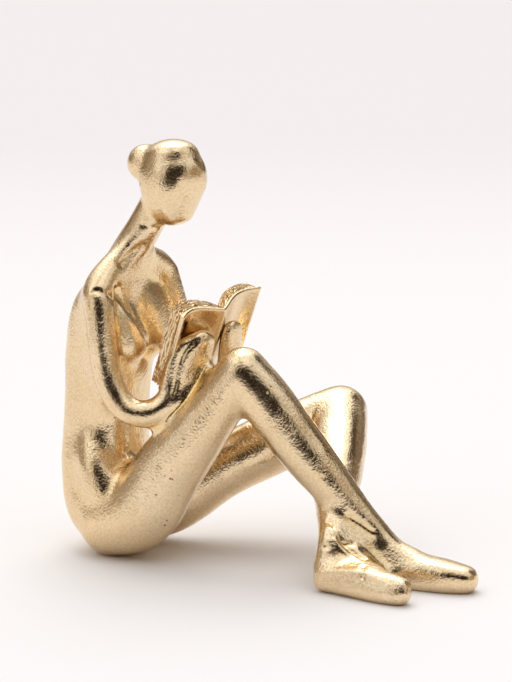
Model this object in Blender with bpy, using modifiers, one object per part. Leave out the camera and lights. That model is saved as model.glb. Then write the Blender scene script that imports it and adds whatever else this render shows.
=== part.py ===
"""A seated figure reading a book, cast in one piece and plated in pale gold.

The figure faces +X. Its right side, at -Y, has the raised knee and the arm that holds the book
from outside. Its left leg lies open towards +Y and crosses under the right one, and the left foot
rests on its side in front of the right foot. +Z is up, and the floor is at z = 0.
"""

import math

import bmesh
import bpy
import numpy as np

# Driving dimensions, in metres.
HEIGHT = 0.120  # floor to crown
BOOK_TALL = 0.0256  # book, along its spine
NEAR_LEAF = 0.0154  # open width of the book's half beside the raised knee
FAR_LEAF = 0.0196  # open width of its other half
NEAR_BOW = 0.0029  # how far each cover bows towards the reader
FAR_BOW = 0.0024
LEAF_THICK = 0.0052  # pages and cover together
COVER_THICK = 0.0013
COVER_BEAD = 0.0014  # the cover is this much thicker along the near fore-edge
COVER_LIP = 0.0005  # cover beyond the pages at top, bottom and fore-edge
GRID = 0.0008  # finest step of the cast surface
FACE_BUDGET = 8200  # triangles of the figure without its book

# The pose and the thickness of the limbs are shares of the height: one share is a 120th of it.
SHARE = HEIGHT / 120

FORWARD = np.array([1.0, 0.0, 0.0])
LEFTWARD = np.array([0.0, 1.0, 0.0])
UPWARD = np.array([0.0, 0.0, 1.0])

NEAR_HIP = (3.8, -9.3, 12.6)
NEAR_KNEE = (38.6, -7.4, 57.4)
NEAR_ANKLE = (77.2, 2.0, 10.8)
FAR_HIP = (2.6, 9.6, 12.8)
FAR_KNEE = (47.1, 37.6, 38.4)
FAR_ANKLE = (67.2, -9.2, 13.2)
NEAR_SHOULDER = (-4.0, -14.6, 76.4)
FAR_SHOULDER = (-0.2, 15.4, 79.6)

# The pose is drawn from the seat. The origin is this point of the floor, under the middle of it all.
FLOOR_MIDDLE = np.array([41.25, 12.32, 0.0])

# Where the spine's outer edge ends at the top, and which way the book stands and opens.
SPINE_TOP = np.array([29.8, -1.0, 73.2])
SPINE_UP = np.array([0.400, -0.2, 0.894])
NEAR_OPENS = np.array([-0.335, -0.939, -0.061])
FAR_OPENS = np.array([0.066, 0.981, 0.189])


def flowing(stations, step):
    """Cubic Hermite curve through the stations, sampled every step along its length.

    Every column is carried through, so sizes flow as smoothly as places do.
    """
    rows = np.array(stations, float)
    gaps = np.linalg.norm(np.diff(rows[:, :3], axis=0), axis=1)
    along = np.concatenate([[0.0], np.cumsum(gaps)])
    slope = np.gradient(rows, along, axis=0)
    samples = np.linspace(0.0, along[-1], max(3, round(along[-1] / step)) + 1)
    piece = np.clip(np.searchsorted(along, samples, side="right") - 1, 0, len(gaps) - 1)
    gap = gaps[piece][:, None]
    t = (samples - along[piece])[:, None] / gap
    start, end = rows[piece], rows[piece + 1]
    leave, arrive = slope[piece] * gap, slope[piece + 1] * gap
    return (
        (2 * t**3 - 3 * t**2 + 1) * start
        + (t**3 - 2 * t**2 + t) * leave
        + (3 * t**2 - 2 * t**3) * end
        + (t**3 - t**2) * arrive
    )


def unit(vectors):
    return vectors / np.linalg.norm(vectors, axis=-1, keepdims=True)


def limb(stations, across, corner=2.0, dome=(1.0, 1.0), sides=28, step=1.4):
    """Flesh along a bone: an oval carried along the curve through its stations, in shares.

    A station is (x, y, z, half_across, half_through). The oval is a superellipse of power
    corner, its first axis lies near across, and each end is closed by a dome whose length is
    the given share of the end's mean half size. Returns (points, faces).
    """
    rows = flowing(stations, step)
    centre, half = rows[:, :3], rows[:, 3:5]
    ahead = unit(np.gradient(centre, axis=0))
    angles = np.radians(np.arange(12.0, 90.0, 13.0))
    ends = []
    for end, sign in ((0, -1.0), (-1, 1.0)):
        reach = dome[end] * half[end].mean() * sign
        order = angles if sign > 0 else angles[::-1]
        ends.append(
            (
                centre[end] + np.outer(np.sin(order) * reach, ahead[end]),
                np.outer(np.cos(order), half[end]),
                np.repeat(ahead[end][None], len(order), axis=0),
            )
        )
    first, last = ends
    centre = np.concatenate([first[0], centre, last[0]])
    half = np.concatenate([first[1], half, last[1]])
    ahead = np.concatenate([first[2], ahead, last[2]])

    axis_one = unit(across - ahead * (ahead @ across)[:, None])
    axis_two = np.cross(ahead, axis_one)
    turn = np.linspace(0.0, 2 * math.pi, sides, endpoint=False)
    power = 2.0 / corner
    wave_one = np.sign(np.cos(turn)) * np.abs(np.cos(turn)) ** power
    wave_two = np.sign(np.sin(turn)) * np.abs(np.sin(turn)) ** power
    points = (
        centre[:, None]
        + (half[:, 0:1] * wave_one)[..., None] * axis_one[:, None]
        + (half[:, 1:2] * wave_two)[..., None] * axis_two[:, None]
    )
    rings = len(centre)
    ring, side = np.meshgrid(np.arange(rings - 1), np.arange(sides), indexing="ij")
    after = (side + 1) % sides
    quads = np.stack(
        [
            ring * sides + side,
            ring * sides + after,
            (ring + 1) * sides + after,
            (ring + 1) * sides + side,
        ],
        axis=-1,
    ).reshape(-1, 4)
    caps = [list(range(sides))[::-1], list(range((rings - 1) * sides, rings * sides))]
    return points.reshape(-1, 3) * SHARE, quads.tolist() + caps


def mound(centre, half_sizes, facing=FORWARD):
    """An egg-shaped mass: half_sizes are (along facing, sideways, up) around the centre."""
    along = unit(np.array(facing, float))
    middle = np.array(centre, float)
    shift = along * half_sizes[0] * 0.02
    rows = [(*(middle + shift * s), half_sizes[1], half_sizes[2]) for s in (-1, 0, 1)]
    reach = half_sizes[0] / (0.5 * (half_sizes[1] + half_sizes[2]))
    sideways = np.cross(UPWARD, along)
    return limb(rows, sideways, dome=(reach, reach), step=0.5)


def between(start, end, share):
    return tuple(np.array(start) + (np.array(end) - np.array(start)) * share)


def shell(name, pieces):
    """One object that holds every piece's shell, still crossing each other."""
    points, faces, count = [], [], 0
    for piece_points, piece_faces in pieces:
        points.append(piece_points)
        faces += [[index + count for index in face] for face in piece_faces]
        count += len(piece_points)
    mesh = bpy.data.meshes.new(name)
    mesh.from_pydata(np.concatenate(points).tolist(), [], faces)
    obj = bpy.data.objects.new(name, mesh)
    bpy.context.scene.collection.objects.link(obj)
    return obj


def remesh(obj, grid):
    step = obj.modifiers.new("skin", "REMESH")
    step.mode = "VOXEL"
    step.voxel_size = grid


def offset(obj, distance):
    step = obj.modifiers.new("offset", "DISPLACE")
    step.mid_level = 0.0
    step.strength = distance


def soften(obj, rounds):
    step = obj.modifiers.new("soften", "SMOOTH")
    step.factor = 0.5
    step.iterations = rounds


def settled(obj):
    """The object's shape with its modifiers worked out, as (points, faces); the object is removed."""
    bpy.context.view_layer.update()
    evaluated = obj.evaluated_get(bpy.context.evaluated_depsgraph_get())
    mesh = bpy.data.meshes.new_from_object(evaluated)
    points = np.empty(len(mesh.vertices) * 3, np.float32)
    mesh.vertices.foreach_get("co", points)
    faces = [list(face.vertices) for face in mesh.polygons]
    old = obj.data
    bpy.data.objects.remove(obj)
    bpy.data.meshes.remove(old)
    bpy.data.meshes.remove(mesh)
    return points.reshape(-1, 3).astype(float), faces


def melted(pieces, fillet, grid, rounds):
    """The pieces grown into one skin whose inner corners are filled to about a radius of fillet.

    The skin is pushed out by the fillet, remade and drawn back: valleys stay filled, ridges return.
    """
    obj = shell("melt", pieces)
    remesh(obj, grid)
    offset(obj, fillet)
    remesh(obj, grid)
    offset(obj, -fillet)
    remesh(obj, grid)
    soften(obj, rounds)
    return settled(obj)


def torso():
    """Seat, waist, ribs and shoulders: a rounded box that leans back, then forward at the neck."""
    column = limb(
        [
            (-2.8, 0.0, 8.4, 14.8, 11.4),
            (-7.2, 0.0, 15.2, 15.6, 12.8),
            (-10.5, 0.0, 24.0, 13.6, 11.6),
            (-10.8, 0.0, 34.0, 12.2, 11.1),
            (-10.2, 0.0, 46.0, 11.9, 10.9),
            (-9.2, 0.0, 58.0, 13.0, 11.0),
            (-8.0, 0.0, 67.0, 14.0, 10.3),
            (-6.0, 0.0, 74.5, 14.0, 8.7),
            (-4.2, 0.0, 79.0, 11.0, 6.2),
        ],
        LEFTWARD,
        corner=3.1,
        dome=(0.78, 0.5),
    )
    return [column]


def shoulders():
    """The slope from the neck to each shoulder; the far shoulder is carried forward."""
    near = limb(
        [
            (-1.6, -2.5, 87.0, 3.6, 4.2),
            (-3.0, -6.8, 84.4, 4.0, 4.2),
            (-4.2, -11.2, 80.4, 4.8, 4.5),
            (*NEAR_SHOULDER, 5.0, 4.8),
        ],
        FORWARD,
    )
    far = limb(
        [
            (-1.8, 3.5, 84.8, 3.6, 3.8),
            (-1.3, 8.0, 84.6, 4.0, 4.1),
            (-0.7, 12.0, 82.9, 4.6, 4.5),
            (*FAR_SHOULDER, 4.8, 4.6),
        ],
        FORWARD,
    )
    return [near, far]


def neck():
    return limb(
        [
            (-4.2, 0.0, 84.5, 6.0, 5.4),
            (-0.9, 0.0, 89.4, 5.5, 5.4),
            (2.4, 0.0, 94.2, 5.0, 5.3),
            (5.6, 0.0, 99.4, 5.0, 5.2),
            (8.4, 0.0, 104.4, 5.0, 5.0),
        ],
        LEFTWARD,
    )


def head():
    """A smooth egg without a face, broad at the crown and blunt at the chin."""
    return limb(
        [
            (12.0, 0.0, 115.6, 7.1, 7.9),
            (12.2, 0.0, 112.4, 8.3, 9.6),
            (12.2, 0.0, 108.6, 8.6, 10.0),
            (12.3, 0.0, 105.0, 8.1, 9.3),
            (12.9, 0.0, 101.6, 6.9, 7.6),
            (13.6, 0.0, 99.0, 5.5, 5.7),
            (14.1, 0.0, 97.4, 4.3, 4.2),
        ],
        LEFTWARD,
        dome=(0.62, 0.30),
    )


def bun():
    return mound((3.7, 0.0, 113.1), (5.5, 5.5, 5.5))


def breasts():
    """A slim drop on the near side, and a broad one that runs into the breastbone."""
    near = limb(
        [
            (-3.2, -8.6, 76.0, 3.4, 3.2),
            (-0.6, -8.0, 68.4, 4.4, 4.8),
            (1.0, -7.4, 62.2, 5.0, 5.4),
        ],
        LEFTWARD,
    )
    far = limb(
        [
            (-3.2, 3.0, 77.6, 6.6, 4.0),
            (-1.2, 3.8, 70.0, 8.2, 5.4),
            (0.0, 4.2, 63.4, 8.2, 6.0),
        ],
        LEFTWARD,
    )
    return [near, far]


def thighs():
    near = limb(
        [
            (-4.2, -8.6, 10.3, 9.3, 10.8),
            (*NEAR_HIP, 9.5, 11.0),
            (*between(NEAR_HIP, NEAR_KNEE, 0.36), 9.1, 10.0),
            (*between(NEAR_HIP, NEAR_KNEE, 0.62), 8.2, 8.6),
            (*between(NEAR_HIP, NEAR_KNEE, 0.84), 7.3, 7.3),
            (*NEAR_KNEE, 7.0, 7.1),
        ],
        LEFTWARD,
    )
    far = limb(
        [
            (-5.2, 8.4, 10.4, 9.0, 10.6),
            (*FAR_HIP, 9.2, 10.8),
            (17.7, 19.1, 22.5, 8.8, 9.2),
            (30.2, 27.0, 29.5, 8.3, 9.3),
            (40.0, 33.1, 34.7, 8.0, 8.8),
            (*FAR_KNEE, 7.9, 8.2),
        ],
        np.array([-0.55, 0.83, 0.0]),
    )
    return near, far


def shins():
    near = limb(
        [
            (*NEAR_KNEE, 7.0, 7.1),
            (*between(NEAR_KNEE, NEAR_ANKLE, 0.15), 7.1, 7.5),
            (53.4, -3.6, 38.3, 7.0, 7.3),
            (61.9, -1.6, 28.0, 6.3, 6.4),
            (70.3, 0.4, 18.5, 5.0, 5.0),
            (*NEAR_ANKLE, 4.3, 4.6),
        ],
        LEFTWARD,
    )
    far = limb(
        [
            (*FAR_KNEE, 7.9, 7.9),
            (*between(FAR_KNEE, FAR_ANKLE, 0.15), 8.2, 7.8),
            (*between(FAR_KNEE, FAR_ANKLE, 0.40), 7.9, 7.3),
            (*between(FAR_KNEE, FAR_ANKLE, 0.68), 6.3, 6.0),
            (*between(FAR_KNEE, FAR_ANKLE, 0.88), 4.5, 4.5),
            (*FAR_ANKLE, 4.0, 4.0),
        ],
        FORWARD,
        dome=(1.0, 0.3),
    )
    return near, far


def near_foot():
    """Flat on the floor, pointing ahead."""
    sole = limb(
        [
            (77.0, 1.6, 3.4, 4.4, 4.2),
            (83.0, 2.2, 3.8, 5.0, 5.2),
            (90.5, 2.9, 3.8, 5.4, 5.0),
            (97.5, 3.6, 3.5, 5.1, 4.5),
            (102.4, 4.2, 3.3, 4.0, 3.8),
        ],
        LEFTWARD,
        corner=3.0,
        dome=(0.8, 0.62),
    )
    instep = limb(
        [
            (*NEAR_ANKLE, 4.3, 4.6),
            (80.2, 2.2, 8.2, 4.4, 4.7),
            (85.5, 2.8, 6.4, 4.6, 4.4),
        ],
        LEFTWARD,
        dome=(0.4, 1.0),
    )
    return [sole, instep]


def far_foot():
    """On its outer edge, with the sole turned to the near side."""
    sole = limb(
        [
            (65.8, -12.6, 4.2, 4.7, 3.5),
            (72.0, -13.1, 4.2, 4.6, 3.6),
            (79.0, -13.9, 4.0, 4.7, 3.6),
            (86.0, -14.6, 3.7, 4.5, 3.6),
            (92.0, -15.0, 3.5, 3.7, 3.2),
        ],
        np.array([0.0, 0.32, 0.95]),
        corner=3.0,
        dome=(0.5, 0.42),
    )
    heel = limb(
        [
            (*FAR_ANKLE, 4.0, 4.0),
            (66.8, -9.9, 9.6, 3.9, 3.9),
            (66.8, -10.9, 6.2, 4.2, 4.4),
        ],
        LEFTWARD,
        dome=(0.3, 1.0),
    )
    instep = limb(
        [
            (69.6, -6.6, 11.4, 3.2, 3.6),
            (75.5, -9.2, 6.8, 3.6, 3.8),
            (82.5, -12.0, 4.8, 3.6, 3.8),
        ],
        LEFTWARD,
    )
    start = between(FAR_ANKLE, NEAR_ANKLE, 0.2)
    web = limb([(*start, 3.0, 3.0), (*NEAR_ANKLE, 3.2, 3.4)], UPWARD)
    return [sole, heel, instep, web]


def near_arm():
    """Down beside the ribs, round the elbow and up the outside of the book, with a mitten hand."""
    return limb(
        [
            (*NEAR_SHOULDER, 4.6, 4.6),
            (-2.2, -15.9, 70.0, 4.3, 4.3),
            (-1.0, -16.5, 61.5, 4.2, 4.2),
            (0.9, -16.8, 53.2, 4.1, 4.1),
            (3.8, -16.8, 47.7, 4.0, 4.0),
            (8.0, -16.2, 44.4, 3.9, 3.9),
            (12.0, -14.4, 44.0, 3.9, 3.9),
            (15.4, -12.2, 45.8, 4.1, 4.0),
            (18.3, -9.4, 49.4, 4.8, 3.8),
            (20.0, -7.4, 54.0, 5.6, 3.7),
            (21.8, -6.0, 58.8, 6.2, 3.6),
            (23.4, -5.3, 62.4, 5.9, 3.4),
            (24.3, -5.0, 64.0, 4.9, 3.1),
        ],
        -NEAR_OPENS,
    )


def far_arm():
    """Down the far side, under the book and up to its spine."""
    return limb(
        [
            (*FAR_SHOULDER, 4.6, 4.6),
            (2.2, 16.6, 71.2, 4.3, 4.3),
            (4.4, 18.6, 61.5, 4.1, 4.1),
            (8.6, 21.0, 52.5, 4.0, 4.0),
            (13.2, 21.6, 47.6, 3.9, 3.9),
            (18.6, 18.0, 48.6, 3.7, 3.7),
            (23.0, 12.4, 53.0, 3.8, 3.3),
            (25.0, 9.4, 57.8, 4.2, 2.9),
            (26.2, 8.0, 62.4, 4.4, 2.5),
            (27.0, 7.6, 66.2, 3.8, 2.2),
        ],
        np.array([0.2, 0.95, 0.2]),
    )


def under_arm_filler():
    """The web of metal that joins the near upper arm to the back of the ribs."""
    return limb(
        [
            (-6.0, -12.0, 74.5, 3.8, 5.6),
            (-5.6, -12.4, 66.0, 3.6, 5.4),
            (-4.8, -12.6, 57.0, 3.4, 5.0),
            (-3.2, -12.6, 49.0, 3.0, 4.4),
        ],
        LEFTWARD,
    )


def hand_bed():
    """The flat pad of metal between the near hand and the cover that it holds."""
    return limb(
        [
            (16.4, -10.6, 48.6, 4.2, 2.0),
            (18.2, -8.6, 54.0, 5.6, 2.2),
            (19.8, -7.2, 59.0, 6.4, 2.2),
            (21.4, -6.4, 62.6, 6.0, 2.0),
        ],
        -NEAR_OPENS,
    )


def forearm_web():
    """The metal between the near forearm and the thigh that it rests on."""
    return limb(
        [
            (13.6, -9.6, 41.4, 2.6, 3.0),
            (19.4, -7.2, 46.8, 3.4, 3.4),
            (23.6, -5.6, 51.6, 3.6, 3.4),
            (26.2, -4.6, 54.8, 3.2, 3.0),
        ],
        LEFTWARD,
    )


def hip_fill():
    """The smooth hollow on the outside of the hip, between the waist and the raised thigh."""
    return limb(
        [
            (-10.0, -10.4, 34.0, 2.6, 4.0),
            (-7.6, -12.0, 26.6, 4.4, 5.4),
            (-4.4, -12.2, 19.6, 5.2, 6.0),
        ],
        LEFTWARD,
    )


def figure():
    """The whole cast figure without its book, as (points, faces)."""
    near_thigh, far_thigh = thighs()
    near_shin, far_shin = shins()
    bust = melted(
        torso() + shoulders() + [neck(), under_arm_filler()], 4.5 * SHARE, 1.25 * GRID, 6
    )
    trunk = melted([bust, near_thigh, far_thigh, hip_fill()], 1.8 * SHARE, GRID, 5)
    feet = melted([near_shin, far_shin] + near_foot() + far_foot(), 2.4 * SHARE, GRID, 3)
    limbs = melted(
        [trunk, feet, near_arm(), far_arm(), hand_bed(), forearm_web()] + breasts(),
        1.3 * SHARE,
        GRID,
        4,
    )
    return melted([limbs, head(), bun()], 0.7 * SHARE, GRID, 2)


def across_book(lip, depth, steps=29):
    """A line across the open book: near fore-edge, spine, far fore-edge, in metres from the spine.

    The share along it runs from -1 over 0 at the spine to 1. Each cover bows towards the reader
    and comes back at its fore-edge, and the line lies depth(share) inside the covers' outer face.
    """
    share = np.linspace(-1.0, 1.0, steps)
    reach = np.abs(share)
    near = share < 0
    opens = np.where(near[:, None], NEAR_OPENS, FAR_OPENS)
    width = np.where(near, NEAR_LEAF, FAR_LEAF) - lip
    bow = np.where(near, NEAR_BOW, FAR_BOW) * np.sin(math.pi * reach**1.2)
    turned = (0.5 + 0.5 * np.tanh(share / 0.2))[:, None]
    near_reader, far_reader = unit(np.cross(NEAR_OPENS, SPINE_UP)), unit(np.cross(SPINE_UP, FAR_OPENS))
    reader = unit(near_reader * (1.0 - turned) + far_reader * turned)
    return opens * (reach * width)[:, None] + reader * (bow + depth(share))[:, None]


def book_slab(name, lift, tall, outer, inner):
    """A closed slab between two edge lines, carried up the spine from lift for a height of tall."""
    base = SPINE_TOP * SHARE - unit(SPINE_UP) * (BOOK_TALL - lift)
    ring = np.concatenate([outer, inner[::-1]]) + base
    count = len(ring)
    points = np.concatenate([ring, ring + unit(SPINE_UP) * tall])
    sides = [[i, (i + 1) % count, count + (i + 1) % count, count + i] for i in range(count)]
    faces = sides + [list(range(count))[::-1], list(range(count, 2 * count))]
    return shell(name, [(points, faces)])


def clean(obj):
    """Outward faces, for a hand-made slab."""
    work = bmesh.new()
    work.from_mesh(obj.data)
    bmesh.ops.recalc_face_normals(work, faces=work.faces)
    work.to_mesh(obj.data)
    work.free()
    return obj


def cover_outside(share):
    return 0.0 * share


def cover_middle(share):
    return 0.0 * share + COVER_THICK / 2


def cover_inside(share):
    """The cover's inner face, with the thick bead along the near fore-edge."""
    return COVER_THICK + COVER_BEAD * np.where(share < 0, np.abs(share) ** 8, 0.0)


def page_faces(share):
    """The pages dip at the spine, swell to the fore-edges and round over at the far one."""
    reach = np.abs(share)
    valley = 1.0 - 0.40 * np.exp(-reach / 0.07)
    near = valley + 0.16 * reach**6
    far = valley * (0.72 + 0.27 * reach**4) * np.sqrt(1.0 - 0.9 * reach**16)
    return LEAF_THICK * np.where(share < 0, near, far)


def book():
    """The open book: its cover, and its pages in two bowed blocks."""
    pages = across_book(COVER_LIP, cover_middle), across_book(COVER_LIP, page_faces)
    cover = across_book(0.0, cover_outside), across_book(0.0, cover_inside)
    return [
        clean(book_slab("pages", COVER_LIP, BOOK_TALL - 2 * COVER_LIP, *pages)),
        clean(book_slab("cover", 0.0, BOOK_TALL, *cover)),
    ]


def floor():
    """A block that cuts the seat and both feet flat where they stand."""
    block = bpy.data.meshes.new("floor")
    work = bmesh.new()
    bmesh.ops.create_cube(work, size=1.0)
    bmesh.ops.scale(work, vec=(4 * HEIGHT, 4 * HEIGHT, HEIGHT), verts=work.verts)
    bmesh.ops.translate(work, vec=(0.0, 0.0, -HEIGHT / 2), verts=work.verts)
    work.to_mesh(block)
    work.free()
    obj = bpy.data.objects.new("floor", block)
    bpy.context.scene.collection.objects.link(obj)
    return obj


def boolean(obj, other, operation):
    step = obj.modifiers.new(other.name, "BOOLEAN")
    step.operation = operation
    step.object = other
    step.solver = "EXACT"


def gold():
    material = bpy.data.materials.new("pale_gold_plating")
    material.use_nodes = True
    shader = material.node_tree.nodes["Principled BSDF"]
    shader.inputs["Base Color"].default_value = (0.84, 0.66, 0.40, 1.0)
    shader.inputs["Metallic"].default_value = 1.0
    shader.inputs["Roughness"].default_value = 0.28
    return material


def main():
    for obj in list(bpy.data.objects):
        bpy.data.objects.remove(obj)
    points, faces = figure()
    body = shell("draft", [(points, faces)])
    thin = body.modifiers.new("thin", "DECIMATE")
    thin.use_collapse_triangulate = True
    thin.ratio = FACE_BUDGET / (2 * len(faces))
    for slab in book():
        boolean(body, slab, "UNION")
    boolean(body, floor(), "DIFFERENCE")
    points, faces = settled(body)
    for obj in list(bpy.data.objects):
        bpy.data.objects.remove(obj)

    points -= FLOOR_MIDDLE * SHARE
    figurine = shell("reading_figure", [(points, faces)])
    figurine.data.materials.append(gold())
    figurine.data.shade_smooth()
    group = bpy.data.collections.new("reading_figurine")
    bpy.context.scene.collection.children.link(group)
    bpy.context.scene.collection.objects.unlink(figurine)
    group.objects.link(figurine)


main()
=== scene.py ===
"""The looks of a seated figure reading a book: one casting, plated in pale gold.

Lengths are metres unless a name says otherwise. The pose is written in shares of the figurine's
height, one share being a 120th of it, from the seat's own middle, and set down on the frame's
origin at the end. The figure faces +X and its raised knee is at -Y.
"""

import math

import bmesh
import bpy
import numpy as np
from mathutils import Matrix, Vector


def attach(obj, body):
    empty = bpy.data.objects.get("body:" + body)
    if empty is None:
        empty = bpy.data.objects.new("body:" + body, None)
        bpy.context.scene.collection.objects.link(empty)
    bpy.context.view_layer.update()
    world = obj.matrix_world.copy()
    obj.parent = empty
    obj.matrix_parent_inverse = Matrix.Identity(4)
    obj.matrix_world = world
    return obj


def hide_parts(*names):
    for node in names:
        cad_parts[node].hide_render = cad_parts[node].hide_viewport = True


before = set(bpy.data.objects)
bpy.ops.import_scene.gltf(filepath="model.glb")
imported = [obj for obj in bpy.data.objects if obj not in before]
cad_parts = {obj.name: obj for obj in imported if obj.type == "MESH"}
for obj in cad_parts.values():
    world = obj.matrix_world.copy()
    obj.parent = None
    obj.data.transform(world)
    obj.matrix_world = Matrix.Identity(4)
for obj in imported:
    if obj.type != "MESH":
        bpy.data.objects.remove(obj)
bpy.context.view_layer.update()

SHARE = 0.120 / 120
FLOOR_MIDDLE = np.array([41.25, 12.32, 0.0]) * SHARE
SKIN_GRID = 0.00061  # finest step of the figure's skin

FORWARD = np.array([1.0, 0.0, 0.0])
LEFTWARD = np.array([0.0, 1.0, 0.0])
UPWARD = np.array([0.0, 0.0, 1.0])

NEAR_HIP = (3.8, -9.3, 12.6)
NEAR_KNEE = (38.6, -7.4, 57.4)
NEAR_ANKLE = (77.2, 2.0, 10.8)
FAR_HIP = (2.6, 9.6, 12.8)
FAR_KNEE = (47.1, 37.6, 38.4)
FAR_ANKLE = (67.2, -9.2, 13.2)
NEAR_SHOULDER = (-4.0, -14.6, 76.4)
FAR_SHOULDER = (-0.2, 15.4, 79.6)

# The book: height along the spine, open width of each half, bow of each cover, thicknesses.
BOOK_TALL = 0.0256
NEAR_LEAF = 0.0154
FAR_LEAF = 0.0196
NEAR_BOW = 0.0029
FAR_BOW = 0.0024
LEAF_THICK = 0.0052
COVER_THICK = 0.0013
COVER_BEAD = 0.0014
COVER_LIP = 0.0005
LEAVES = 5.0  # leaf edges across each half of the page block
END_GROOVE = 0.00095  # between the leaves at the top and the bottom
SIDE_GROOVE = 0.00080  # and along the fore-edges
LEAF_CRUST = 0.000060  # rough relief over the leaf edges, with waves of about LEAF_CRUST_WAVE
LEAF_CRUST_WAVE = 0.0012
SPINE_TOP = np.array([29.8, -1.0, 73.2]) * SHARE
SPINE_UP = np.array([0.400, -0.2, 0.894]) / math.hypot(0.400, 0.2, 0.894)
NEAR_OPENS = np.array([-0.335, -0.939, -0.061])
FAR_OPENS = np.array([0.066, 0.981, 0.189])

# Colours of the finish.
WARM_GOLD = (0.85, 0.655, 0.405)
PALE_GOLD = (0.88, 0.710, 0.470)
# Painted bounce light: the saturated gold of metal mirrored in metal, laid into the figure's hollows.
BOUNCE_LIGHT_GOLD = (0.82, 0.56, 0.18)
# Painted shade in the grooves between the leaves.
GROOVE_SHADE_BROWN = (0.34, 0.20, 0.09)
# Painted shade on the low spots of the sandy grain, a speckle that stands for the grain's own shading.
GRAIN_SHADE_BROWN = (0.46, 0.30, 0.14)
PIT_BROWN = (0.42, 0.24, 0.10)

# The studio. The floor's colour near the figure and, with painted shade as the light falls away, far
# off;
# and a painted dark reflection of the room beyond the table's end, which only the metal's mirror image
# of
# the floor shows in front: towards an azimuth, from a distance on, and out to the sides by a share of
# that distance, measured from a line that is a little aside of the figure.
FLOOR_NEAR = (0.885, 0.868, 0.868)
FLOOR_FAR = (0.80, 0.765, 0.775)
FLOOR_FADE = (0.25, 1.6)
# Painted reflection of the dark room behind the camera, shown on the floor to glossy rays only.
MIRRORED_DARK_ROOM = (0.06, 0.05, 0.04)
DARK_ROOM_AZIMUTH = 8.0
DARK_ROOM_ASIDE = 0.03
DARK_ROOM_REACH = (0.24, 0.38)
DARK_ROOM_SPREAD = (0.46, 0.32)
WALL_LOW = (0.55, 0.49, 0.42)
WALL_HIGH = (0.80, 0.78, 0.76)

# Patches of the mirrored room, each laid over the ones before it: azimuth and elevation of its
# middle, the angles at which it is full and at which it ends, all in degrees, and its colour.
ROOM = (
    (-150.0, 62.0, 26.0, 44.0, (1.40, 1.40, 1.42)),
    (-45.0, 50.0, 14.0, 24.0, (1.30, 1.30, 1.32)),
    (48.0, 68.0, 12.0, 22.0, (1.20, 1.20, 1.22)),
    (8.0, 36.0, 11.0, 20.0, (0.46, 0.40, 0.34)),
    (-10.0, 46.0, 6.0, 13.0, (1.30, 1.30, 1.32)),
    (42.0, 24.0, 14.0, 20.0, (0.030, 0.022, 0.017)),
    (18.0, 8.0, 21.0, 28.0, (0.025, 0.018, 0.014)),
    (-32.0, 20.0, 10.0, 18.0, (0.98, 0.98, 1.00)),
    (-75.0, 18.0, 14.0, 28.0, (0.44, 0.37, 0.30)),
    (-98.0, 12.0, 7.0, 15.0, (0.20, 0.16, 0.12)),
    (105.0, 36.0, 16.0, 26.0, (0.92, 0.92, 0.93)),
    (100.0, 6.0, 20.0, 32.0, (0.40, 0.32, 0.22)),
    (145.0, 34.0, 16.0, 22.0, (0.085, 0.065, 0.050)),
    (150.0, 18.0, 9.0, 18.0, (0.22, 0.17, 0.12)),
    (174.0, 0.0, 8.0, 18.0, (0.12, 0.10, 0.08)),
)


def unit(vectors):
    return vectors / np.linalg.norm(vectors, axis=-1, keepdims=True)


def lay_camera():
    """The photograph's viewpoint: 28 degrees round from -Y towards +X, 10 degrees up, 0.6 m off."""
    data = bpy.data.cameras.new("photo_view")
    data.sensor_width = 36.0
    data.lens = 113.11
    data.clip_start = 0.01
    data.clip_end = 60.0
    camera = bpy.data.objects.new("photo_view", data)
    bpy.context.scene.collection.objects.link(camera)
    eye = Vector((0.27395, -0.53232, 0.16870))
    aim = Vector((-0.00345, -0.01062, 0.06450))
    camera.location = eye
    camera.rotation_mode = "QUATERNION"
    camera.rotation_quaternion = (aim - eye).to_track_quat("-Z", "Y")
    bpy.context.scene.camera = camera


# Flesh: ovals carried along bones.


def flowing(stations, step):
    """Cubic Hermite curve through the stations, sampled every step along its length.

    Place and size columns are carried alike; each slope is the central difference of its
    neighbours over the distance between them.
    """
    rows = np.array(stations, float)
    gaps = np.linalg.norm(np.diff(rows[:, :3], axis=0), axis=1)
    along = np.concatenate([[0.0], np.cumsum(gaps)])
    slope = np.gradient(rows, along, axis=0)
    samples = np.linspace(0.0, along[-1], max(3, round(along[-1] / step)) + 1)
    piece = np.clip(np.searchsorted(along, samples, side="right") - 1, 0, len(gaps) - 1)
    gap = gaps[piece][:, None]
    t = (samples - along[piece])[:, None] / gap
    start, end = rows[piece], rows[piece + 1]
    leave, arrive = slope[piece] * gap, slope[piece + 1] * gap
    return (
        (2 * t**3 - 3 * t**2 + 1) * start
        + (t**3 - 2 * t**2 + t) * leave
        + (3 * t**2 - 2 * t**3) * end
        + (t**3 - t**2) * arrive
    )


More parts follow.
